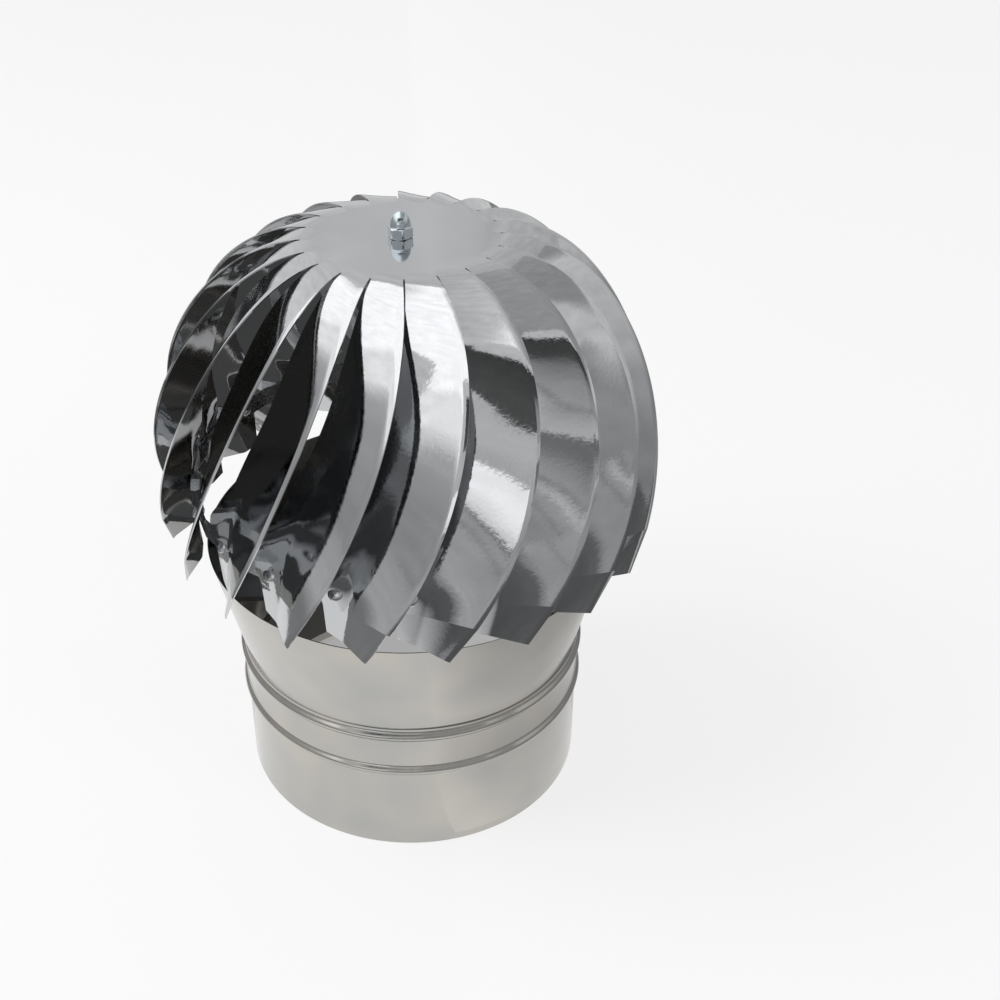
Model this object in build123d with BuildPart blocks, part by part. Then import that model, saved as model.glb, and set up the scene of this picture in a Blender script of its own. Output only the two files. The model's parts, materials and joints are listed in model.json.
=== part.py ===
from build123d import *
import os
from math import asin, atan2, cos, degrees, hypot, pi, radians, sin, tan

os.makedirs("parts", exist_ok=True)

# Sheet and base sizes, in millimetres
flue_diameter = 175.0
spigot_clearance = 0.2
base_sheet = 0.6
seat_gap = 0.05
lower_bead_z = 50.0
upper_bead_z = 72.0
bead_half_width = 3.6
bead_crest = 1.3
bead_depth = 1.9
collar_lip = 4.5
funnel_overlap = 14.0
funnel_top_z = 135.0
funnel_flare = 13.5

# Rotor sizes, in millimetres and degrees
petal_count = 20
rotor_sheet = 0.6
disc_radius = 44.7
disc_top_z = 290.6
rotor_radius = 121.5
equator_z = 176.0
edge_turn = 106.0
slit_phase = -88.8
slit_gap = 0.9
petal_sweep = 28.4
sweep_power = 2.3
section_lean = 66.0
full_pitch = 31.0
pitch_station = 0.49
end_width = 27.5
trim_station = 0.78
trim_width = 55.5
unrolled_share = 0.6
foot_share = 0.34
foot_start = 0.66
foot_station = 0.81
rivet_station = 0.855
crease_station = 0.92
tab_station = 1.01
end_skew = 20.0
tab_inset = 1.0
station_step = 0.02
upper_stations = (0.0, 0.05, 0.13, 0.24, 0.37, 0.50)
lower_stations = (foot_start, 0.73, foot_station, rivet_station, crease_station)

# Lower ring and petal rivets
ring_sheet = 0.8
ring_gap = 0.7
ring_top_station = 0.82
ring_end_station = 0.89
rivet_radius = 1.6
rivet_hole_clearance = 0.1
rivet_head_radius = 3.4
rivet_head_height = 1.1
rivet_tail_radius = 2.5
rivet_tail_height = 1.3
rivet_gap = 0.12
rivet_sides = 6

# Bridge, bearing tube and bushes
bridge_z = 98.0
bridge_thickness = 3.0
bridge_width = 24.0
bridge_leg_height = 20.0
tube_radius = 8.0
tube_bottom_z = 84.0
tube_length = 44.0
bush_wall = 2.0
bush_length = 14.0
bush_flange_radius = 7.5
bush_flange = 2.0
press_gap = 0.01

# Spindle, nuts and washers
spindle_radius = 3.0
running_clearance = 0.04
thread_clearance = 0.02
axial_play = 0.2
spindle_below_nut = 3.0
spindle_cap_depth = 7.5
nut_across_flats = 10.0
nut_height = 5.0
lock_nut_height = 6.0
lock_nut_collar_radius = 4.6
washer_radius = 6.0
washer_thickness = 1.6
disc_washer_radius = 9.0
disc_washer_thickness = 1.6
cap_hex_height = 5.0
cap_dome_radius = 4.75
cap_height = 12.0
cap_chamfer = 0.6
cap_turn = -16.0

# Worked-out places
spigot_radius = flue_diameter / 2 - spigot_clearance
collar_top_z = upper_bead_z + collar_lip
funnel_foot_radius = spigot_radius - base_sheet - seat_gap
disc_middle_z = disc_top_z - rotor_sheet / 2
disc_under_z = disc_top_z - rotor_sheet
half_sector = 180.0 / petal_count
bush_radius = spindle_radius + running_clearance + bush_wall
tube_top_z = tube_bottom_z + tube_length


def blend(value):
    """Smooth step from 0 to 1."""
    value = min(1.0, max(0.0, value))
    return value * value * (3 - 2 * value)


def funnel_radius(z):
    """Outside radius of the funnel at a height."""
    return funnel_foot_radius + max(0.0, z - collar_top_z) * tan(radians(funnel_flare))


def petal_pitch(station):
    """Angle between the petal's chord and the rim, growing from the disc to its full value."""
    return full_pitch * sin(pi / 2 * min(1.0, station / pitch_station))


def petal_width(radius, z, station):
    """Width of the slit sector, trimmed on its inner side towards the foot."""
    unrolled = radius + unrolled_share * (disc_middle_z - z)
    sector = 2 * sin(radians(half_sector)) * unrolled - slit_gap
    trim = max(0.0, station - trim_station) / (1 - trim_station)
    return min(sector, trim_width + (end_width - trim_width) * trim)


def petal_plane(station, inset=0.0):
    """Section plane at the raised edge, with x across the petal, skewed at its end, and y outwards."""
    turn = radians(edge_turn * station)
    radius = disc_radius + (rotor_radius - disc_radius) * sin(turn)
    z = equator_z + (disc_middle_z - equator_z) * cos(turn)
    edge_angle = radians(slit_phase - petal_sweep * station**sweep_power)
    middle_angle = edge_angle - radians(half_sector)
    lean = radians(section_lean) * sin(pi / 2 * station)
    across = Vector(sin(middle_angle), -cos(middle_angle), 0)
    radial = Vector(cos(middle_angle), sin(middle_angle), 0)
    upright = Vector(0, 0, 1)
    outward = radial * sin(lean) + upright * cos(lean)
    run = upright * sin(lean) - radial * cos(lean)
    skew = radians(end_skew) * blend((station - foot_station) / (tab_station - foot_station))
    edge = Vector(radius * cos(edge_angle), radius * sin(edge_angle), z)
    start = edge + across * (slit_gap / 2) - outward * inset
    skewed = across * cos(skew) + run * sin(skew)
    plane = Plane(start, x_dir=skewed, z_dir=run * cos(skew) - across * sin(skew))
    return plane, petal_width(radius, z, station)


def foot_rest_pitch():
    """Pitch in the section plane that lays the foot along the ring at its rivet."""
    plane, width = petal_plane(rivet_station)
    pitch = radians(petal_pitch(rivet_station))
    blade = width * (1 - foot_share)
    middle_x = blade * cos(pitch) + width * foot_share / 2
    middle = plane.from_local_coords(Vector(middle_x, -blade * sin(pitch), 0))
    radial = Vector(middle.X, middle.Y, 0)
    return atan2(plane.x_dir.dot(radial), plane.y_dir.dot(radial))


rest_pitch = foot_rest_pitch()


def petal_outline(station, width):
    """Corners of the sheet's section: the pitched blade and the foot that turns along the rim."""
    pitch = radians(petal_pitch(station))
    turned = blend((station - foot_start) / (foot_station - foot_start))
    foot_pitch = pitch + (rest_pitch - pitch) * turned
    half = rotor_sheet / 2
    blade = width * (1 - foot_share)
    foot = width * foot_share
    bend = Vector(blade * cos(pitch), -blade * sin(pitch))
    tip = bend + Vector(foot * cos(foot_pitch), -foot * sin(foot_pitch))
    mitre_angle = (pitch + foot_pitch) / 2
    mitre = half / cos((pitch - foot_pitch) / 2)
    edge_offset = Vector(sin(pitch), cos(pitch)) * half
    bend_offset = Vector(sin(mitre_angle), cos(mitre_angle)) * mitre
    tip_offset = Vector(sin(foot_pitch), cos(foot_pitch)) * half
    outer = [edge_offset, bend + bend_offset, tip + tip_offset]
    inner = [tip - tip_offset, bend - bend_offset, edge_offset * -1]
    return [(corner.X, corner.Y) for corner in outer + inner]


def petal_section(station, inset=0.0):
    """Face of the sheet's section, set in its plane."""
    plane, width = petal_plane(station, inset)
    corners = [plane.from_local_coords(Vector(x, y, 0)) for x, y in petal_outline(station, width)]
    return Face(Wire.make_polygon(corners, close=True))


def foot_place(station):
    """Middle of the foot's inner face."""
    plane, width = petal_plane(station)
    corners = petal_outline(station, width)
    middle_x = (corners[3][0] + corners[4][0]) / 2
    middle_y = (corners[3][1] + corners[4][1]) / 2
    return plane.from_local_coords(Vector(middle_x, middle_y, 0))


def foot_profile(station):
    """Radius and height of the foot's inner face."""
    place = foot_place(station)
    return Vector(hypot(place.X, place.Y), place.Z)


# Ring line along the inner faces of the feet, and the rivet's place on it
ring_top = foot_profile(ring_top_station)
ring_end = foot_profile(ring_end_station)
ring_fall = (ring_end.X - ring_top.X) / (ring_top.Y - ring_end.Y)
rivet_foot = foot_profile(rivet_station)
foot_stand = rivet_foot.X - ring_end.X + (rivet_foot.Y - ring_end.Y) * ring_fall
foot_run = foot_profile(rivet_station + station_step) - foot_profile(rivet_station - station_step)
foot_slope = atan2(foot_run.X, -foot_run.Y)
rivet_place = foot_place(rivet_station)
rivet_angle = degrees(atan2(rivet_place.Y, rivet_place.X))
rivet_way = Vector(cos(foot_slope), 0, sin(foot_slope)).rotate(Axis.Z, rivet_angle)
rivet_plane = Plane(rivet_place, z_dir=rivet_way)


def hexagon_radius(across_flats):
    """Corner radius of a hexagon."""
    return across_flats / 2 / cos(pi / 6)


def bead_corners(middle_z):
    """Corners of a pressed bead's outside, from below."""
    crest_radius = spigot_radius + bead_depth
    return [
        (spigot_radius, middle_z - bead_half_width),
        (crest_radius, middle_z - bead_crest),
        (crest_radius, middle_z + bead_crest),
        (spigot_radius, middle_z + bead_half_width),
    ]


# Spigot collar with two pressed beads
collar_ends = [(spigot_radius, 0), (spigot_radius, collar_top_z)]
collar_line = collar_ends[:1] + bead_corners(lower_bead_z) + bead_corners(upper_bead_z) + collar_ends[1:]
with BuildPart() as spigot_collar:
    with BuildSketch(Plane.XZ):
        with BuildLine():
            Polyline(*collar_line)
            offset(amount=base_sheet, side=Side.LEFT)
        make_face()
    revolve(axis=Axis.Z)
spigot_collar.part.label = "spigot_collar"
export_step(spigot_collar.part, "parts/spigot_collar.step")

# Funnel: a straight foot inside the collar and a flared skirt above it
funnel_bottom_z = collar_top_z - funnel_overlap
with BuildPart() as funnel:
    with BuildSketch(Plane.XZ):
        with BuildLine():
            straight = Line((funnel_foot_radius, funnel_bottom_z), (funnel_foot_radius, collar_top_z))
            Line(straight @ 1, (funnel_radius(funnel_top_z), funnel_top_z))
            offset(amount=base_sheet, side=Side.LEFT)
        make_face()
    revolve(axis=Axis.Z)
funnel.part.label = "funnel"
export_step(funnel.part, "parts/funnel.step")

# Bridge bar across the funnel, with curved legs against its wall
wall_step = base_sheet / cos(radians(funnel_flare)) + seat_gap
leg_top_z = bridge_z + bridge_leg_height
leg_bottom_radius = funnel_radius(bridge_z) - wall_step
leg_top_radius = funnel_radius(leg_top_z) - wall_step
leg_span = 2 * degrees(asin(bridge_width / 2 / leg_bottom_radius))
with BuildPart() as bridge_bar:
    for leg_start in (-leg_span / 2, 180 - leg_span / 2):
        with BuildSketch(Plane.XZ.rotated((0, 0, leg_start))):
            with BuildLine():
                Polyline(
                    (leg_bottom_radius, bridge_z),
                    (leg_top_radius, leg_top_z),
                    (leg_top_radius - bridge_thickness, leg_top_z),
                    (leg_bottom_radius - bridge_thickness, bridge_z),
                    close=True,
                )
            make_face()
        revolve(axis=Axis.Z, revolution_arc=leg_span)
    with BuildSketch(Plane.XY.offset(bridge_z)):
        Rectangle(2 * (leg_bottom_radius - bridge_thickness), bridge_width)
        Circle(tube_radius + press_gap, mode=Mode.SUBTRACT)
    extrude(amount=bridge_thickness)
bridge_bar.part.label = "bridge_bar"
export_step(bridge_bar.part, "parts/bridge_bar.step")

# Hole through a foot and the ring for a rivet
with BuildPart() as rivet_cutter:
    with BuildSketch(rivet_plane):
        RegularPolygon(rivet_radius + rivet_hole_clearance, rivet_sides)
    extrude(amount=rivet_head_radius, both=True)

# Petal: a twisted blade with a creased tab and a foot for its rivet
blade_sections = [petal_section(station) for station in upper_stations + lower_stations]
tab_sections = [petal_section(crease_station), petal_section(tab_station, tab_inset)]
with BuildPart() as petal:
    loft(sections=blade_sections)
    loft(sections=tab_sections, ruled=True)
    add(rivet_cutter.part, mode=Mode.SUBTRACT)

# Rotor shell: the top disc and its ring of petals in one sheet
with BuildPart() as rotor_shell:
    with BuildSketch(Plane.XY.offset(disc_under_z)):
        RegularPolygon(disc_radius, petal_count, rotation=slit_phase)
        Circle(spindle_radius + thread_clearance, mode=Mode.SUBTRACT)
    extrude(amount=rotor_sheet)
    with PolarLocations(0, petal_count):
        add(petal.part)
rotor_shell.part.label = "rotor_shell"
export_step(rotor_shell.part, "parts/rotor_shell.step")

# Lower ring inside the feet of the petals, with a flat and a hole for each rivet
flats_turn = rivet_angle + half_sector
corner_share = 1 / cos(radians(half_sector))
ring_levels = [(ring_end.Y, ring_end.X - ring_gap), (ring_top.Y, ring_top.X - ring_gap)]
with BuildPart() as lower_ring:
    for depth, way in ((0, Mode.ADD), (ring_sheet, Mode.SUBTRACT)):
        for level_z, level_radius in ring_levels:
            with BuildSketch(Plane.XY.offset(level_z)):
                RegularPolygon((level_radius - depth) * corner_share, petal_count, rotation=flats_turn)
        loft(mode=way)
    with PolarLocations(0, petal_count):
        add(rivet_cutter.part, mode=Mode.SUBTRACT)
lower_ring.part.label = "lower_ring"
export_step(lower_ring.part, "parts/lower_ring.step")

# Petal rivets, one through each foot and the ring
rivet_outer = rotor_sheet + rivet_gap
rivet_inner = foot_stand + ring_gap + ring_sheet + rivet_gap
with BuildPart() as petal_rivet:
    with BuildSketch(rivet_plane.offset(-rivet_inner)):
        RegularPolygon(rivet_radius, rivet_sides)
    extrude(amount=rivet_inner + rivet_outer)
    with BuildSketch(rivet_plane.offset(rivet_outer)):
        RegularPolygon(rivet_head_radius, rivet_sides)
    extrude(amount=rivet_head_height)
    with BuildSketch(rivet_plane.offset(-rivet_inner)):
        RegularPolygon(rivet_tail_radius, rivet_sides)
    extrude(amount=-rivet_tail_height)
with BuildPart() as petal_rivets:
    with PolarLocations(0, petal_count):
        add(petal_rivet.part)
petal_rivets.part.label = "petal_rivets"
export_step(petal_rivets.part, "parts/petal_rivets.step")

# Bearing tube through the middle of the bridge
with BuildPart() as bearing_tube:
    with BuildSketch(Plane.XY.offset(tube_bottom_z)):
        Circle(tube_radius)
        Circle(bush_radius + press_gap, mode=Mode.SUBTRACT)
    extrude(amount=tube_length)
bearing_tube.part.label = "bearing_tube"
export_step(bearing_tube.part, "parts/bearing_tube.step")


def flanged_bush(seat_z, way):
    """Flanged bush seated at one end of the tube, with its flange pointing the given way."""
    bore = spindle_radius + running_clearance
    with BuildPart() as bush:
        with BuildSketch(Plane.XY.offset(seat_z)):
            Circle(bush_radius)
            Circle(bore, mode=Mode.SUBTRACT)
        extrude(amount=-way * bush_length)
        with BuildSketch(Plane.XY.offset(seat_z)):
            Circle(bush_flange_radius)
            Circle(bore, mode=Mode.SUBTRACT)
        extrude(amount=way * bush_flange)
    return bush


upper_bush = flanged_bush(tube_top_z, 1)
upper_bush.part.label = "upper_bush"
export_step(upper_bush.part, "parts/upper_bush.step")

lower_bush = flanged_bush(tube_bottom_z, -1)
lower_bush.part.label = "lower_bush"
export_step(lower_bush.part, "parts/lower_bush.step")


def washer(bottom_z, radius, thickness):
    """Flat washer on the spindle."""
    with BuildPart() as ring:
        with BuildSketch(Plane.XY.offset(bottom_z)):
            Circle(radius)
            Circle(spindle_radius + thread_clearance, mode=Mode.SUBTRACT)
        extrude(amount=thickness)
    return ring


def hexagon_nut(bottom_z):
    """Plain nut on the spindle."""
    with BuildPart() as nut:
        with BuildSketch(Plane.XY.offset(bottom_z)):
            RegularPolygon(hexagon_radius(nut_across_flats), 6)
            Circle(spindle_radius + thread_clearance, mode=Mode.SUBTRACT)
        extrude(amount=nut_height)
    return nut


# Thrust washer, support nut and jam nut above the upper bush
thrust_z = tube_top_z + bush_flange + axial_play
thrust_washer = washer(thrust_z, washer_radius, washer_thickness)
thrust_washer.part.label = "thrust_washer"
export_step(thrust_washer.part, "parts/thrust_washer.step")

support_nut = hexagon_nut(thrust_z + washer_thickness)
support_nut.part.label = "support_nut"
export_step(support_nut.part, "parts/support_nut.step")

jam_nut = hexagon_nut(thrust_z + washer_thickness + nut_height)
jam_nut.part.label = "jam_nut"
export_step(jam_nut.part, "parts/jam_nut.step")

# Washer and clamp nut under the top disc
disc_washer = washer(disc_under_z - disc_washer_thickness, disc_washer_radius, disc_washer_thickness)
disc_washer.part.label = "disc_washer"
export_step(disc_washer.part, "parts/disc_washer.step")

clamp_nut = hexagon_nut(disc_under_z - disc_washer_thickness - nut_height)
clamp_nut.part.label = "clamp_nut"
export_step(clamp_nut.part, "parts/clamp_nut.step")

# Lower washer and lock nut that keep the rotor from lifting off
lower_washer_z = tube_bottom_z - bush_flange - axial_play - washer_thickness
lower_washer = washer(lower_washer_z, washer_radius, washer_thickness)
lower_washer.part.label = "lower_washer"
export_step(lower_washer.part, "parts/lower_washer.step")

with BuildPart() as lock_nut:
    with BuildSketch(Plane.XY.offset(lower_washer_z)):
        RegularPolygon(hexagon_radius(nut_across_flats), 6)
    extrude(amount=-nut_height)
    with BuildSketch(Plane.XY.offset(lower_washer_z)):
        Circle(lock_nut_collar_radius)
    extrude(amount=-lock_nut_height)
    with BuildSketch(Plane.XY.offset(lower_washer_z)):
        Circle(spindle_radius + thread_clearance)
    extrude(amount=-lock_nut_height, mode=Mode.SUBTRACT)
lock_nut.part.label = "lock_nut"
export_step(lock_nut.part, "parts/lock_nut.step")

# Spindle from below the lock nut up into the cap nut
spindle_bottom_z = lower_washer_z - lock_nut_height - spindle_below_nut
with BuildPart() as spindle:
    with BuildSketch(Plane.XY.offset(spindle_bottom_z)):
        Circle(spindle_radius)
    extrude(amount=disc_top_z + spindle_cap_depth - spindle_bottom_z)
spindle.part.label = "spindle"
export_step(spindle.part, "parts/spindle.step")

# Domed cap nut on the top disc, its hexagon chamfered
cap_corner = hexagon_radius(nut_across_flats)
cap_hex_z = disc_top_z + cap_hex_height
with BuildPart() as cap_nut:
    with BuildSketch(Plane.XY.offset(disc_top_z)):
        RegularPolygon(cap_corner, 6, rotation=cap_turn)
    extrude(amount=cap_hex_height)
    with BuildSketch(Plane.XZ):
        with BuildLine():
            Polyline(
                (0, disc_top_z),
                (cap_corner, disc_top_z),
                (cap_corner, cap_hex_z - cap_chamfer),
                (cap_dome_radius, cap_hex_z),
                (0, cap_hex_z),
                close=True,
            )
        make_face()
    revolve(axis=Axis.Z, mode=Mode.INTERSECT)
    with BuildSketch(Plane.XZ):
        with BuildLine():
            shoulder_z = disc_top_z + cap_height - cap_dome_radius
            wall = Line((cap_dome_radius, disc_top_z), (cap_dome_radius, shoulder_z))
            dome = RadiusArc(wall @ 1, (0, disc_top_z + cap_height), -cap_dome_radius)
            Polyline(dome @ 1, (0, disc_top_z), wall @ 0)
        make_face()
    revolve(axis=Axis.Z)
    with BuildSketch(Plane.XY.offset(disc_top_z)):
        Circle(spindle_radius + thread_clearance)
    extrude(amount=spindle_cap_depth + seat_gap, mode=Mode.SUBTRACT)
cap_nut.part.label = "cap_nut"
export_step(cap_nut.part, "parts/cap_nut.step")
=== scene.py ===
import json
import math

import bmesh
import bpy
from mathutils import Matrix, Vector


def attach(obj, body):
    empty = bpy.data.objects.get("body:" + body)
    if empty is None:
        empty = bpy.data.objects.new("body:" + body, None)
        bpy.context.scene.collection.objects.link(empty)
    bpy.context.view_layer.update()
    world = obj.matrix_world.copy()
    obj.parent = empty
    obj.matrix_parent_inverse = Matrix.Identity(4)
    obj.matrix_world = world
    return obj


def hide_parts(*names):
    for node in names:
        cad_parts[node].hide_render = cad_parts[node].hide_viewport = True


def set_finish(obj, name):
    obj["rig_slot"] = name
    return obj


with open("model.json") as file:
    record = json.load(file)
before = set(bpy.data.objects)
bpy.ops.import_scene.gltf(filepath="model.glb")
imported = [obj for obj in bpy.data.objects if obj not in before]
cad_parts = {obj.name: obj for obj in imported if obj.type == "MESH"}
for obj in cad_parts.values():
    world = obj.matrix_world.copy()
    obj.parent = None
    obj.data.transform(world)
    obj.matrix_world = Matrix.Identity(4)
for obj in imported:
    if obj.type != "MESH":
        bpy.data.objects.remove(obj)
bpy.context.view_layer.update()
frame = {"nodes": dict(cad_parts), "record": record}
MM = 0.001

# Base sizes, in millimetres as in the part
spigot_radius = 87.3
base_sheet = 0.6
bead_heights = (50.0, 72.0)
bead_half_width = 3.6
bead_depth = 1.9
collar_top_z = 76.5
funnel_foot_radius = 86.65
funnel_bottom_z = 62.5
funnel_top_z = 135.0
funnel_flare = 13.5

# Rotor sizes, in millimetres and degrees
petal_count = 20
half_sector = 180.0 / petal_count
rotor_sheet = 0.6
disc_radius = 44.7
disc_middle_z = 290.3
rotor_radius = 121.5
equator_z = 176.0
edge_turn = 106.0
slit_phase = -88.8
slit_gap = 0.9
petal_sweep = 28.4
sweep_power = 2.3
section_lean = 66.0
full_pitch = 31.0
pitch_station = 0.49
end_width = 27.5
trim_station = 0.78
trim_width = 55.5
unrolled_share = 0.6
foot_share = 0.34
foot_start = 0.66
foot_station = 0.81
rivet_station = 0.855
crease_station = 0.92
tab_station = 1.01
end_skew = 20.0
tab_inset = 1.0
bend_share = 0.05
spindle_hole_radius = 3.02
flat_disc_radius = 38.0
roll_width = 3.2
roll_drop = 0.5
roll_station = 0.25

# Mesh fineness
lathe_steps = 256
bead_steps = 8
funnel_steps = 8
blade_rows = 60
tab_rows = 6
roll_steps = 5
flat_steps = 21
across_steps = roll_steps + flat_steps

# Rivets
rivet_head_radius = 3.4
rivet_head_height = 1.1
rivet_tail_radius = 2.5
rivet_tail_height = 1.3
rivet_gap = 0.12
rivet_tail_round = 0.5
rivet_radius = 1.6
rivet_grip = 1.9
rivet_steps = 20
dome_steps = 8

# Cap nut
disc_top_z = disc_middle_z + rotor_sheet / 2
cap_flats = 10.0
cap_corner = cap_flats / 2 / math.cos(math.pi / 6)
cap_hex_height = 5.0
cap_chamfer = 0.6
cap_dome_radius = 4.75
cap_height = 12.0
cap_bore_depth = 7.55
cap_turn = -16.0
nut_steps = 72
chamfer_steps = 4
sharp_angle = 20.0

# Camera, fitted to the rims in the photograph, its place in metres
camera_place = (0.0, -0.5885, 0.54408)
camera_right = (0.99964, -0.01030, -0.02464)
camera_up = (0.02626, 0.54810, 0.83600)
camera_back = (0.00489, -0.83635, 0.54817)
camera_lens = 51.19
camera_shift = (0.0999, -0.0144)


def smooth_step(value):
    """Smooth step from 0 to 1."""
    value = min(1.0, max(0.0, value))
    return value * value * (3 - 2 * value)


def new_piece(name, bm, body, slot):
    """Object from a bmesh, riding on a body, with its material slot named."""
    mesh = bpy.data.meshes.new(name)
    bmesh.ops.recalc_face_normals(bm, faces=bm.faces)
    bm.to_mesh(mesh)
    bm.free()
    piece = bpy.data.objects.new(name, mesh)
    bpy.context.scene.collection.objects.link(piece)
    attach(piece, body)
    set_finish(piece, slot)
    return piece


def lathe(profile, sharp_rows):
    """Closed ring turned from a closed loop of radius and height, in millimetres."""
    bm = bmesh.new()
    rings = []
    for step in range(lathe_steps):
        turn = 2 * math.pi * step / lathe_steps
        rings.append([
            bm.verts.new((r * math.cos(turn) * MM, r * math.sin(turn) * MM, z * MM)) for r, z in profile
        ])
    count = len(profile)
    for step in range(lathe_steps):
        here, there = rings[step], rings[(step + 1) % lathe_steps]
        for row in range(count):
            after = (row + 1) % count
            face = bm.faces.new((here[row], there[row], there[after], here[after]))
            face.smooth = True
            if row in sharp_rows:
                bm.edges.get((here[row], there[row])).smooth = False
    return bm


def thick_profile(outside):
    """Closed loop of a sheet's outside and inside lines, with the loop's sharp rows."""
    inside = [(r - base_sheet, z) for r, z in reversed(outside)]
    count = len(outside)
    return outside + inside, {0, count - 1, count, 2 * count - 1}


def bead_bulge(z):
    """How far the pressed beads stand out at a height."""
    bulge = 0.0
    for bead_z in bead_heights:
        offset = abs(z - bead_z) / bead_half_width
        if offset < 1:
            bulge = bead_depth * (0.5 + 0.5 * math.cos(math.pi * offset))
    return bulge


def collar_outside():
    """Outside line of the collar with its two beads."""
    heights = [0.0]
    steps = range(-bead_steps, bead_steps + 1)
    for bead_z in bead_heights:
        heights += [bead_z + bead_half_width * step / bead_steps for step in steps]
    heights.append(collar_top_z)
    return [(spigot_radius + bead_bulge(z), z) for z in heights]


def funnel_outside():
    """Outside line of the funnel, a straight foot and the flare above it."""
    slope = math.tan(math.radians(funnel_flare))
    line = [(funnel_foot_radius, funnel_bottom_z)]
    for step in range(funnel_steps + 1):
        z = collar_top_z + (funnel_top_z - collar_top_z) * step / funnel_steps
        line.append((funnel_foot_radius + (z - collar_top_z) * slope, z))
    return line


def petal_pitch(station):
    """Angle between the petal's chord and the rim, growing from the disc to its full value."""
    return full_pitch * math.sin(math.pi / 2 * min(1.0, station / pitch_station))


def petal_axes(station, inset=0.0):
    """Start of the section on the raised edge, its directions across and outwards, and its width."""
    turn = math.radians(edge_turn * station)
    radius = disc_radius + (rotor_radius - disc_radius) * math.sin(turn)
    z = equator_z + (disc_middle_z - equator_z) * math.cos(turn)
    edge_angle = math.radians(slit_phase - petal_sweep * station**sweep_power)
    middle_angle = edge_angle - math.radians(half_sector)
    lean = math.radians(section_lean) * math.sin(math.pi / 2 * station)
    across = Vector((math.sin(middle_angle), -math.cos(middle_angle), 0))
    radial = Vector((math.cos(middle_angle), math.sin(middle_angle), 0))
    outward = radial * math.sin(lean) + Vector((0, 0, math.cos(lean)))
    edge = Vector((radius * math.cos(edge_angle), radius * math.sin(edge_angle), z))
    start = edge + across * (slit_gap / 2) - outward * inset
    run = Vector((0, 0, math.sin(lean))) - radial * math.cos(lean)
    skew = math.radians(end_skew) * smooth_step((station - foot_station) / (tab_station - foot_station))
    skewed = across * math.cos(skew) + run * math.sin(skew)
    unrolled = radius + unrolled_share * (disc_middle_z - z)
    sector = 2 * math.sin(math.radians(half_sector)) * unrolled - slit_gap
    trim = max(0.0, station - trim_station) / (1 - trim_station)
    width = min(sector, trim_width + (end_width - trim_width) * trim)
    return start, skewed, outward, width


def foot_rest_pitch():
    """Pitch that lays the foot along the ring at its rivet."""
    start, across, outward, width = petal_axes(rivet_station)
    pitch = math.radians(petal_pitch(rivet_station))
    blade = width * (1 - foot_share)
    reach = blade * math.cos(pitch) + width * foot_share / 2
    middle = start + across * reach - outward * (blade * math.sin(pitch))
    radial = Vector((middle.x, middle.y, 0))
    return math.atan2(across.dot(radial), outward.dot(radial))


rest_pitch = foot_rest_pitch()


def row_places(width):
    """Distances from the raised edge across one section, closer together where the edge is rolled."""
    rolled = [roll_width * step / roll_steps for step in range(roll_steps)]
    flat = [roll_width + (width - roll_width) * step / flat_steps for step in range(flat_steps + 1)]
    return rolled + flat


def petal_row(station, inset=0.0):
    """Middle points of the sheet across one section, with the sheet's direction there."""
    start, across, outward, width = petal_axes(station, inset)
    pitch = math.radians(petal_pitch(station))
    turned = smooth_step((station - foot_start) / (foot_station - foot_start))
    foot_pitch = pitch + (rest_pitch - pitch) * turned
    full_drop = roll_drop * smooth_step(station / roll_station)
    point = start.copy()
    last_place = 0.0
    along = across
    row = []
    for place in row_places(width):
        point += along * (place - last_place)
        last_place = place
        bend = smooth_step((place / width - (1 - foot_share)) / (2 * bend_share) + 0.5)
        angle = pitch + (foot_pitch - pitch) * bend
        along = across * math.cos(angle) - outward * math.sin(angle)
        normal = across * math.sin(angle) + outward * math.cos(angle)
        rolled = max(0.0, 1 - place / roll_width)
        tilt = 2 * full_drop / roll_width * rolled
        row.append((point - normal * (full_drop * rolled**2), (normal - along * tilt).normalized()))
    return row


def petal_rows():
    """Rows of the blade down to its crease, then of the straight tab below it."""
    rows = [petal_row(crease_station * step / blade_rows) for step in range(blade_rows + 1)]
    tab_end = petal_row(tab_station, tab_inset)
    crease = rows[-1]
    for step in range(1, tab_rows + 1):
        share = step / tab_rows
        rows.append([
            (a[0].lerp(b[0], share), a[1].lerp(b[1], share).normalized()) for a, b in zip(crease, tab_end)
        ])
    return rows


def rotor_mesh():
    """Top disc and its petals as one closed sheet."""
    bm = bmesh.new()
    rows = petal_rows()
    half = rotor_sheet / 2
    rims = []
    for petal in range(petal_count):
        turn = Matrix.Rotation(2 * math.pi * petal / petal_count, 3, "Z")
        sides = []
        for way in (half, -half):
            sides.append([[bm.verts.new(turn @ (p + n * way) * MM) for p, n in row] for row in rows])
        outer, inner = sides
        skin_petal(bm, outer, inner)
        rims.append((outer[0], inner[0]))
    fill_disc(bm, rims, half)
    return bm


def add_face(bm, corners, smooth=True):
    """Face with its shading."""
    face = bm.faces.new(corners)
    face.smooth = smooth


def mark_sharp(bm, line):
    """Sharp edges along a line of points."""
    for a, b in zip(line, line[1:]):
        bm.edges.get((a, b)).smooth = False


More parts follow.
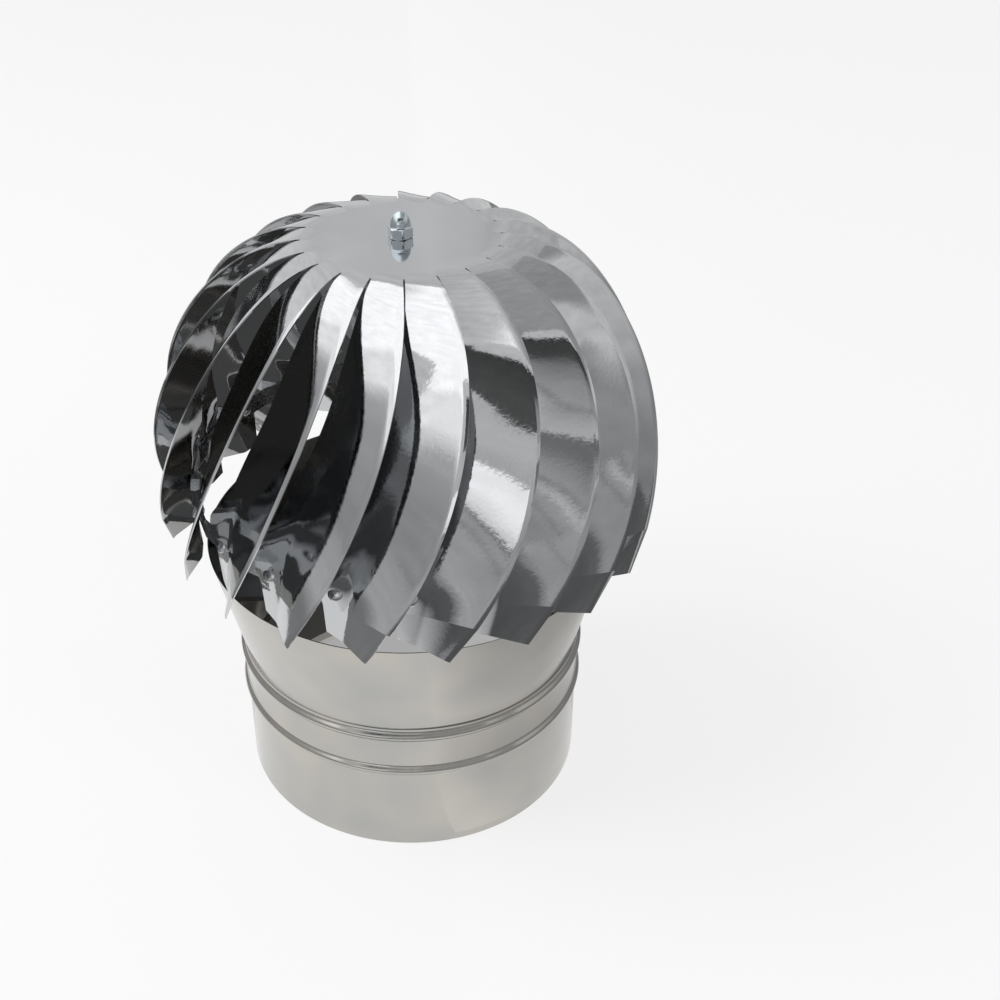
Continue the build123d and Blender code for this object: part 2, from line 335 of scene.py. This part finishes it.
def skin_petal(bm, outer, inner):
    """Outer and inner faces of one petal and its cut edges, open where it meets the disc."""
    last = len(outer) - 1
    for row in range(last):
        outer_here, outer_next = outer[row], outer[row + 1]
        inner_here, inner_next = inner[row], inner[row + 1]
        for step in range(across_steps):
            after = step + 1
            add_face(bm, (outer_here[step], outer_next[step], outer_next[after], outer_here[after]))
            add_face(bm, (inner_here[step], inner_here[after], inner_next[after], inner_next[step]))
        for step, order in ((0, 1), (across_steps, -1)):
            corners = (outer_here[step], inner_here[step], inner_next[step], outer_next[step])
            add_face(bm, corners[::order])
    for step in range(across_steps):
        add_face(bm, (outer[last][step], inner[last][step], inner[last][step + 1], outer[last][step + 1]))
    for side in (outer, inner):
        mark_sharp(bm, [row[0] for row in side])
        mark_sharp(bm, [row[across_steps] for row in side])
        mark_sharp(bm, side[last])
        mark_sharp(bm, side[blade_rows])


def fill_disc(bm, rims, half):
    """Disc inside the petals' first rows, flat within a narrow bend, with the spindle's hole."""
    tops = [vert for outer, _ in rims for vert in reversed(outer)]
    bottoms = [vert for _, inner in rims for vert in reversed(inner)]
    upper_rings, lower_rings = [tops], [bottoms]
    for radius in (flat_disc_radius, spindle_hole_radius):
        ways = [Vector((vert.co.x, vert.co.y, 0)).normalized() * radius for vert in tops]
        for rings, z in ((upper_rings, disc_middle_z + half), (lower_rings, disc_middle_z - half)):
            rings.append([bm.verts.new((way + Vector((0, 0, z))) * MM) for way in ways])
    hole_top, hole_bottom = upper_rings[-1], lower_rings[-1]
    count = len(tops)
    for here in range(count):
        after = (here + 1) % count
        for outside, inside in zip(upper_rings, upper_rings[1:]):
            add_face(bm, (outside[here], outside[after], inside[after], inside[here]))
        for outside, inside in zip(lower_rings, lower_rings[1:]):
            add_face(bm, (outside[after], outside[here], inside[here], inside[after]))
        add_face(bm, (hole_top[here], hole_top[after], hole_bottom[after], hole_bottom[here]), False)
        if here % (across_steps + 1) == across_steps:
            add_face(bm, (tops[after], tops[here], bottoms[here], bottoms[after]), False)


def foot_place(station):
    """Middle of the foot's inner face and the sheet's direction there."""
    width = petal_axes(station)[3]
    places = row_places(width)
    reach = width * (1 - foot_share / 2)
    after = [place >= reach for place in places].index(True)
    share = (reach - places[after - 1]) / (places[after] - places[after - 1])
    row = petal_row(station)
    normal = row[after][1]
    point = row[after - 1][0].lerp(row[after][0], share)
    return point - normal * (rotor_sheet / 2), normal


def turned(bm, profile, steps, place):
    """Skin turned from a profile of radius and height that starts and ends on its axis."""
    rings = []
    for radius, height in profile:
        count = steps if radius else 1
        angles = [2 * math.pi * step / steps for step in range(count)]
        rings.append([bm.verts.new(place(radius, height, angle) * MM) for angle in angles])
    for below, above in zip(rings, rings[1:]):
        for step in range(steps):
            after = (step + 1) % steps
            corners = [below[step % len(below)], below[after % len(below)]]
            corners += [above[after % len(above)], above[step % len(above)]]
            add_face(bm, list(dict.fromkeys(corners)))


def dome_points(radius, bottom, height):
    """Profile of a dome up to its top, without its bottom point."""
    angles = [math.pi / 2 * step / dome_steps for step in range(1, dome_steps)]
    points = [(radius * math.cos(angle), bottom + height * math.sin(angle)) for angle in angles]
    return points + [(0.0, bottom + height)]


def rivets_mesh():
    """Domed rivets, one through each foot and the ring behind it."""
    bm = bmesh.new()
    foot, normal = foot_place(rivet_station)
    side = normal.orthogonal().normalized()
    other = normal.cross(side)
    outer = rotor_sheet + rivet_gap
    tail_end = -rivet_grip - rivet_tail_height
    profile = [(0.0, tail_end), (rivet_tail_radius - rivet_tail_round, tail_end)]
    profile += [(rivet_tail_radius, tail_end + rivet_tail_round), (rivet_tail_radius, -rivet_grip)]
    profile += [(rivet_radius, -rivet_grip), (rivet_radius, outer), (rivet_head_radius, outer)]
    profile += dome_points(rivet_head_radius, outer, rivet_head_height)
    for petal in range(petal_count):
        turn = Matrix.Rotation(2 * math.pi * petal / petal_count, 3, "Z")

        def rivet_point(radius, height, angle):
            rim = side * (radius * math.cos(angle)) + other * (radius * math.sin(angle))
            return turn @ (foot + normal * height + rim)

        turned(bm, profile, rivet_steps, rivet_point)
    return bm


def nut_point(radius, height, angle):
    """Point of the cap nut, held inside its hexagon, with angles from a corner."""
    flat = cap_flats / 2 / math.cos(angle % (math.pi / 3) - math.pi / 6)
    reach = min(radius, flat)
    around = angle + math.radians(cap_turn)
    return Vector((reach * math.cos(around), reach * math.sin(around), disc_top_z + height))


def cap_nut_mesh():
    """Domed nut with a hexagon chamfered at both ends, hollow for the spindle."""
    bm = bmesh.new()
    chamfer = []
    for step in range(chamfer_steps + 1):
        share = step / chamfer_steps
        chamfer.append((cap_dome_radius + (cap_corner - cap_dome_radius) * share, cap_chamfer * share))
    profile = [(0.0, cap_bore_depth), (spindle_hole_radius, cap_bore_depth), (spindle_hole_radius, 0.0)]
    profile += chamfer
    profile += [(radius, cap_hex_height - height) for radius, height in reversed(chamfer)]
    profile += dome_points(cap_dome_radius, cap_hex_height, cap_height - cap_hex_height)
    turned(bm, profile, nut_steps, nut_point)
    for edge in bm.edges:
        if edge.calc_face_angle() > math.radians(sharp_angle):
            edge.smooth = False
    return bm


# Finer meshes that take the place of five of the part's nodes
collar_loop, collar_sharp = thick_profile(collar_outside())
collar = new_piece("collar_sheet", lathe(collar_loop, collar_sharp), "base", "satin_stainless")
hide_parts("spigot_collar")
funnel_loop, funnel_sharp = thick_profile(funnel_outside())
funnel = new_piece("funnel_sheet", lathe(funnel_loop, funnel_sharp), "base", "satin_stainless")
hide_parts("funnel")
rotor = new_piece("rotor_sheet", rotor_mesh(), "rotor", "mirror_stainless")
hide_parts("rotor_shell")
rivets = new_piece("domed_rivets", rivets_mesh(), "rotor", "rivet_steel")
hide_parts("petal_rivets")
nut = new_piece("domed_nut", cap_nut_mesh(), "rotor", "zinc_steel")
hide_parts("cap_nut")

# Detail of the two noises in the metals, and the range of the grain that sways the gloss
wave_detail = 1.0
grain_detail = 3.0
grain_low = 0.3
grain_high = 0.7


def metal(name, color, stain, roughness, wave_scale, wave_bump, grain_scale, grain_bump, rough_swing):
    """Metal with slow waves in the sheet, fine grain and cloudy gloss."""
    material = bpy.data.materials.new(name)
    material.use_nodes = True
    nodes, links = material.node_tree.nodes, material.node_tree.links
    shader = nodes["Principled BSDF"]
    shader.inputs["Metallic"].default_value = 1.0
    place = nodes.new("ShaderNodeTexCoord")
    waves = nodes.new("ShaderNodeTexNoise")
    waves.inputs["Scale"].default_value = wave_scale
    waves.inputs["Detail"].default_value = wave_detail
    grain = nodes.new("ShaderNodeTexNoise")
    grain.inputs["Scale"].default_value = grain_scale
    grain.inputs["Detail"].default_value = grain_detail
    for texture in (waves, grain):
        links.new(place.outputs["Object"], texture.inputs["Vector"])
    tint = nodes.new("ShaderNodeMixRGB")
    tint.inputs["Color1"].default_value = (*stain, 1)
    tint.inputs["Color2"].default_value = (*color, 1)
    links.new(waves.outputs["Fac"], tint.inputs["Fac"])
    links.new(tint.outputs["Color"], shader.inputs["Base Color"])
    gloss = nodes.new("ShaderNodeMapRange")
    gloss.inputs["From Min"].default_value = grain_low
    gloss.inputs["From Max"].default_value = grain_high
    gloss.inputs["To Min"].default_value = roughness - rough_swing
    gloss.inputs["To Max"].default_value = roughness + rough_swing
    links.new(grain.outputs["Fac"], gloss.inputs["Value"])
    links.new(gloss.outputs["Result"], shader.inputs["Roughness"])
    slow = nodes.new("ShaderNodeBump")
    slow.inputs["Strength"].default_value = 1.0
    slow.inputs["Distance"].default_value = wave_bump * MM
    links.new(waves.outputs["Fac"], slow.inputs["Height"])
    fine = nodes.new("ShaderNodeBump")
    fine.inputs["Strength"].default_value = 1.0
    fine.inputs["Distance"].default_value = grain_bump * MM
    links.new(grain.outputs["Fac"], fine.inputs["Height"])
    links.new(slow.outputs["Normal"], fine.inputs["Normal"])
    links.new(fine.outputs["Normal"], shader.inputs["Normal"])
    return material


# Finishes by material slot
finishes = {
    "mirror_stainless": metal(
        "mirror_sheet", color=(0.57, 0.58, 0.595), stain=(0.54, 0.55, 0.56),
        roughness=0.06, rough_swing=0.03, wave_scale=28, wave_bump=0.25,
        grain_scale=600, grain_bump=0.016),
    "satin_stainless": metal(
        "satin_sheet", color=(0.57, 0.535, 0.48), stain=(0.40, 0.41, 0.41),
        roughness=0.15, rough_swing=0.04, wave_scale=30, wave_bump=0.25,
        grain_scale=500, grain_bump=0.003),
    "ring_stainless": metal(
        "strip", color=(0.64, 0.65, 0.66), stain=(0.60, 0.61, 0.62),
        roughness=0.25, rough_swing=0.05, wave_scale=40, wave_bump=0.1,
        grain_scale=700, grain_bump=0.01),
    "rivet_steel": metal(
        "rivet", color=(0.60, 0.61, 0.63), stain=(0.56, 0.57, 0.59),
        roughness=0.22, rough_swing=0.05, wave_scale=120, wave_bump=0.02,
        grain_scale=1500, grain_bump=0.005),
    "frame_steel": metal(
        "mill_steel", color=(0.52, 0.53, 0.54), stain=(0.48, 0.49, 0.50),
        roughness=0.40, rough_swing=0.08, wave_scale=60, wave_bump=0.1,
        grain_scale=700, grain_bump=0.03),
    "zinc_steel": metal(
        "zinc_plate", color=(0.56, 0.62, 0.66), stain=(0.48, 0.54, 0.57),
        roughness=0.12, rough_swing=0.04, wave_scale=150, wave_bump=0.02,
        grain_scale=1500, grain_bump=0.001),
    "bush_bronze": metal(
        "bronze", color=(0.60, 0.44, 0.26), stain=(0.56, 0.41, 0.24),
        roughness=0.42, rough_swing=0.07, wave_scale=150, wave_bump=0.03,
        grain_scale=1800, grain_bump=0.02),
}
for row in frame["record"]["subparts"]:
    node = frame["nodes"][row["node"]]
    node.data.materials.clear()
    node.data.materials.append(finishes[row["material_slot"]])
for piece in (collar, funnel, rotor, rivets, nut):
    piece.data.materials.append(finishes[piece["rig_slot"]])

# Camera
camera_data = bpy.data.cameras.new("camera")
camera_data.lens = camera_lens
camera_data.shift_x, camera_data.shift_y = camera_shift
camera = bpy.data.objects.new("camera", camera_data)
axes = Matrix((camera_right, camera_up, camera_back)).transposed().to_4x4()
camera.matrix_world = Matrix.Translation(camera_place) @ axes
bpy.context.scene.collection.objects.link(camera)
bpy.context.scene.camera = camera


def seen_rays(nodes, links):
    """Camera, glossy and transmission rays together."""
    path = nodes.new("ShaderNodeLightPath")
    total = nodes.new("ShaderNodeMath")
    total.operation = "ADD"
    total.use_clamp = True
    links.new(path.outputs["Is Camera Ray"], total.inputs[0])
    links.new(path.outputs["Is Glossy Ray"], total.inputs[1])
    full = nodes.new("ShaderNodeMath")
    full.operation = "ADD"
    full.use_clamp = True
    links.new(total.outputs[0], full.inputs[0])
    links.new(path.outputs["Is Transmission Ray"], full.inputs[1])
    return full.outputs[0]


# White world, dimmer as a light than where it is seen
sky_light = 0.5
sky_seen = 1.0
world = bpy.data.worlds.new("studio")
bpy.context.scene.world = world
world.use_nodes = True
nodes, links = world.node_tree.nodes, world.node_tree.links
sky = nodes["Background"]
sky.inputs["Color"].default_value = (1, 1, 1, 1)
level = nodes.new("ShaderNodeMapRange")
level.inputs["To Min"].default_value = sky_light
level.inputs["To Max"].default_value = sky_seen
links.new(seen_rays(nodes, links), level.inputs["Value"])
links.new(level.outputs["Result"], sky.inputs["Strength"])

# Stage floor: sizes in metres, greys and the shares of white light in them
matt_roughness = 0.9
floor_half = 6.0
floor_grey = 0.88
floor_white_share = 0.75
duct_radius = 0.085
duct_shade_disc_z = 0.003
# Painted shade: a greyer ground inside the duct that gets less white than the floor
duct_shade_grey = 0.5
duct_white_share = 0.38


def plain_material(name, grey, white_share):
    """Matt grey surface, part white light to the rays that see it."""
    material = bpy.data.materials.new(name)
    material.use_nodes = True
    nodes, links = material.node_tree.nodes, material.node_tree.links
    matt = nodes["Principled BSDF"]
    matt.inputs["Base Color"].default_value = (grey, grey, grey, 1)
    matt.inputs["Roughness"].default_value = matt_roughness
    white = nodes.new("ShaderNodeEmission")
    share = nodes.new("ShaderNodeMath")
    share.operation = "MULTIPLY"
    share.inputs[1].default_value = white_share
    links.new(seen_rays(nodes, links), share.inputs[0])
    mix = nodes.new("ShaderNodeMixShader")
    links.new(share.outputs[0], mix.inputs["Fac"])
    links.new(matt.outputs[0], mix.inputs[1])
    links.new(white.outputs[0], mix.inputs[2])
    links.new(mix.outputs[0], nodes["Material Output"].inputs["Surface"])
    return material


def rectangle(low, high):
    """Corners of a rectangle between two opposite corners that share one coordinate."""
    flat = [a == b for a, b in zip(low, high)].index(True)
    first, second = [axis for axis in range(3) if axis != flat]
    corners = []
    for a, b in ((low, low), (high, low), (high, high), (low, high)):
        corner = Vector(low)
        corner[first], corner[second] = a[first], b[second]
        corners.append(corner)
    return corners


def circle(radius, z):
    """Points round a level circle."""
    turns = [2 * math.pi * step / lathe_steps for step in range(lathe_steps)]
    return [Vector((radius * math.cos(turn), radius * math.sin(turn), z)) for turn in turns]


def card(name, corners, material):
    """Flat stage panel."""
    mesh = bpy.data.meshes.new(name)
    mesh.from_pydata(corners, [], [range(len(corners))])
    panel = bpy.data.objects.new(name, mesh)
    bpy.context.scene.collection.objects.link(panel)
    panel.data.materials.append(material)
    return panel


# Floor, with a greyer disc inside the duct: painted shade for the unlit ground within it
pale = plain_material("pale_floor", floor_grey, floor_white_share)
card("floor", rectangle((-floor_half, -floor_half, 0), (floor_half, floor_half, 0)), pale)
shaded = plain_material("shaded_ground", duct_shade_grey, duct_white_share)
card("duct_shade_disc", circle(duct_radius, duct_shade_disc_z), shaded)

# Unevenness of the studio panels
cloud_scale = 1.6
cloud_swing = 0.05
mottle_scale = 7.0
mottle_swing = 0.25


def wall_material(name, axis, stops):
    """Light panel whose grey changes along one axis, from places in metres and their greys."""
    material = bpy.data.materials.new(name)
    material.use_nodes = True
    nodes, links = material.node_tree.nodes, material.node_tree.links
    nodes.remove(nodes["Principled BSDF"])
    place = nodes.new("ShaderNodeTexCoord")
    split = nodes.new("ShaderNodeSeparateXYZ")
    links.new(place.outputs["Object"], split.inputs[0])
    low, high = stops[0][0], stops[-1][0]
    spread = nodes.new("ShaderNodeMapRange")
    spread.inputs["From Min"].default_value = low
    spread.inputs["From Max"].default_value = high
    links.new(split.outputs[axis], spread.inputs["Value"])
    cloud = nodes.new("ShaderNodeTexNoise")
    cloud.inputs["Scale"].default_value = cloud_scale
    links.new(place.outputs["Object"], cloud.inputs["Vector"])
    shift = nodes.new("ShaderNodeMapRange")
    shift.inputs["To Min"].default_value = -cloud_swing
    shift.inputs["To Max"].default_value = cloud_swing
    links.new(cloud.outputs["Fac"], shift.inputs["Value"])
    total = nodes.new("ShaderNodeMath")
    links.new(spread.outputs["Result"], total.inputs[0])
    links.new(shift.outputs["Result"], total.inputs[1])
    ramp = nodes.new("ShaderNodeValToRGB")
    while len(ramp.color_ramp.elements) < len(stops):
        ramp.color_ramp.elements.new(1.0)
    for element, (where, grey) in zip(ramp.color_ramp.elements, stops):
        element.position = (where - low) / (high - low)
        element.color = (grey, grey, grey, 1)
    links.new(total.outputs[0], ramp.inputs["Fac"])
    mottle = nodes.new("ShaderNodeTexNoise")
    mottle.inputs["Scale"].default_value = mottle_scale
    links.new(place.outputs["Object"], mottle.inputs["Vector"])
    strength = nodes.new("ShaderNodeMapRange")
    strength.inputs["To Min"].default_value = 1 - mottle_swing
    strength.inputs["To Max"].default_value = 1 + mottle_swing
    links.new(mottle.outputs["Fac"], strength.inputs["Value"])
    light = nodes.new("ShaderNodeEmission")
    links.new(ramp.outputs["Color"], light.inputs["Color"])
    links.new(strength.outputs["Result"], light.inputs["Strength"])
    links.new(light.outputs[0], nodes["Material Output"].inputs["Surface"])
    return material


def wall(name, corners, axis, stops):
    """Studio panel that only the metal mirrors."""
    panel = card(name, corners, wall_material(name + "_grey", axis, stops))
    panel.visible_camera = False
    panel.visible_diffuse = False
    panel.visible_shadow = False


# Studio panels that only the metal mirrors, sizes in metres
room = 1.8
room_top = 2.6
before_wall = 1.75
low_panel_z = 0.004
high_panel_z = 0.006
duct_panel_z = 0.008
# Grey of the painted shade inside the duct
duct_painted_shade = 0.08
wall("left_wall", rectangle((-room, -room, 0), (-room, room, room_top)), "Z",
     [(0, 0.40), (0.57, 0.44), (0.88, 0.60), (1.12, 1.30), (1.6, 1.25), (1.8, 1.60), (room_top, 1.65)])
wall("right_wall", rectangle((room, -0.9, 0), (room, room, room_top)), "Z",
     [(0, 0.32), (0.3, 0.36), (0.6, 0.62), (0.9, 0.72), (1.5, 0.80), (1.75, 0.42), (room_top, 0.40)])
wall("right_front_wall", rectangle((room, -room, 0), (room, -0.9, room_top)), "Z",
     [(0, 0.34), (0.75, 0.42), (0.95, 0.38), (1.15, 0.55), (1.25, 0.82), (1.45, 0.80), (1.75, 0.42),
      (room_top, 0.40)])
wall("front_wall", rectangle((-room, -room, 0), (0.15, -room, room_top)), "Z",
     [(0, 0.50), (0.2, 0.47), (0.21, 0.36), (0.23, 0.36), (0.24, 0.48), (0.9, 0.68), (1.2, 0.72),
      (room_top, 0.80)])
wall("front_right_wall", rectangle((0.15, -room, 0), (room, -room, room_top)), "Z",
     [(0, 0.40), (0.29, 0.43), (0.30, 0.30), (0.32, 0.30), (0.33, 0.44), (0.41, 0.48), (0.42, 0.70),
      (0.45, 0.70), (0.46, 0.57), (0.50, 0.50), (0.51, 0.34), (0.54, 0.34), (0.55, 0.50), (0.6, 0.44),
      (0.72, 0.24), (0.83, 0.20), (0.86, 0.70), (0.95, 0.64), (1.08, 0.52), (1.10, 0.36), (1.13, 0.36),
      (1.15, 0.48), (1.23, 0.43), (1.52, 0.29), (1.7, 0.09), (2.2, 0.06), (2.26, 0.74), (room_top, 0.78)])
wall("back_wall", rectangle((-room, room, 0), (room, room, room_top)), "X",
     [(-room, 0.95), (-0.4, 0.80), (0.4, 0.68), (room, 0.58)])
wall("ceiling", rectangle((-room, -room, room_top), (room, room, room_top)), "X",
     [(-room, 1.65), (-0.2, 1.65), (0.05, 0.88), (0.3, 0.74), (0.8, 0.48), (room, 0.44)])
wall("back_window", rectangle((-room, before_wall, 1.85), (-0.2, before_wall, room_top)), "Z",
     [(1.85, 1.3), (2.1, 1.65), (room_top, 1.65)])
wall("front_flag", rectangle((-1.0, -before_wall, 1.12), (0.15, -before_wall, 2.02)), "Z",
     [(1.12, 0.11), (2.02, 0.06)])
wall("low_window", rectangle((-1.3, -before_wall, 0.32), (-0.45, -before_wall, 0.70)), "Z",
     [(0.32, 0.22), (0.345, 0.22), (0.355, 1.0), (0.5, 1.4), (0.7, 1.4)])
wall("left_floor", rectangle((-room, -room, low_panel_z), (-0.27, room, low_panel_z)), "X",
     [(-room, 0.45), (-0.6, 0.55), (-0.45, 0.28), (-0.27, 0.25)])
# Painted shadow: the dip round 0.35 m stands for the cowl's own shadow on the floor, as the metal mirrors
# it
wall("right_floor_with_shadow", rectangle((0.02, -0.30, low_panel_z), (room, room, low_panel_z)), "X",
     [(0.02, 0.98), (0.05, 0.93), (0.12, 0.62), (0.20, 0.36), (0.35, 0.20), (0.6, 0.35), (room, 0.40)])
wall("back_floor", rectangle((-0.27, 0.09, high_panel_z), (0.12, room, high_panel_z)), "Y",
     [(0.09, 0.80), (0.18, 0.40), (0.35, 0.14), (room, 0.4)])
# Painted shade: a dark disc inside the duct that the metal mirrors, for the duct's unlit inside
wall("duct_shade_panel", circle(duct_radius, duct_panel_z), "Y",
     [(-duct_radius, duct_painted_shade), (duct_radius, duct_painted_shade)])
wall("front_floor", rectangle((-0.42, -room, high_panel_z), (room, -0.22, high_panel_z)), "Y",
     [(-room, 0.40), (-1.4, 0.33), (-1.2, 0.18), (-0.36, 0.12), (-0.22, 0.75)])


def softbox(name, place, aim, size, power):
    """Square soft lamp pointed at a place, not mirrored itself."""
    lamp = bpy.data.lights.new(name, "AREA")
    lamp.size = size
    lamp.energy = power
    holder = bpy.data.objects.new(name, lamp)
    holder.location = place
    holder.rotation_euler = (Vector(aim) - Vector(place)).to_track_quat("-Z", "Y").to_euler()
    holder.visible_glossy = False
    bpy.context.scene.collection.objects.link(holder)


# Soft lamps
lamp_aim = (0, 0, 0.15)
softbox("window_box", place=(-1.5, -0.2, 1.9), aim=lamp_aim, size=1.4, power=30)
softbox("fill_box", place=(1.4, -1.2, 1.6), aim=lamp_aim, size=0.8, power=6)

# View transform
bpy.context.scene.view_settings.view_transform = "Standard"
